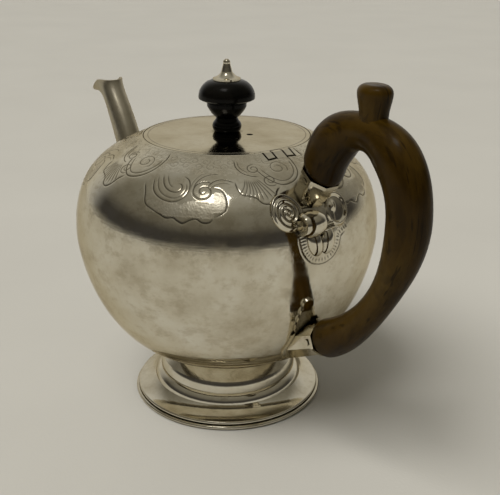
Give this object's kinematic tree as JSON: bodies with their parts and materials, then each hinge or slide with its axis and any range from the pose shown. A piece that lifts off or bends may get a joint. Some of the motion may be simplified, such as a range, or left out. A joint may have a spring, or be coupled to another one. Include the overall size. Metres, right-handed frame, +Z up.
{
  "type": "teapot",
  "caption": "Silver teapot with a round belly on a moulded foot, a curved spout, a flush hinged lid with a black wooden knob, and a C-shaped dark wooden handle.",
  "frame": {"origin": "centre of the foot's rim on the table, on the pot's axis", "axes": "+Z up along the pot's axis, +X towards the handle, -X towards the spout, Y along the lid's hinge"},
  "size_m": [0.2149, 0.116, 0.1369],
  "materials": {
    "silver": "polished silver with fine wear",
    "handle_wood": "dark polished fruitwood",
    "black_wood": "polished black wood"
  },
  "bodies": {
    "pot": {"body": "silver", "foot": "silver", "foot_rim": "silver", "lid_seat": "silver", "hinge_housing": "silver", "body_knuckles": "silver", "hinge_pin": "silver", "spout": "silver", "upper_socket": "silver", "upper_socket_scroll": "silver", "upper_socket_plaque": "silver", "lower_socket": "silver", "lower_socket_plaque": "silver", "upper_handle_pin": "silver", "lower_handle_pin": "silver", "handle": "handle_wood"},
    "lid": {"lid": "silver", "lid_bezel": "silver", "lid_knuckles": "silver", "finial_knob": "black_wood", "finial_cap": "silver", "finial_bolt": "silver", "finial_washer": "silver", "finial_nut": "silver"}
  },
  "joints": [
    {"name": "lid_hinge", "type": "hinge", "parent": "pot", "child": "lid", "pos_m": [0.032, 0, 0.10425], "axis": [0, 1, 0], "range_deg": [0, 85]}
  ]
}
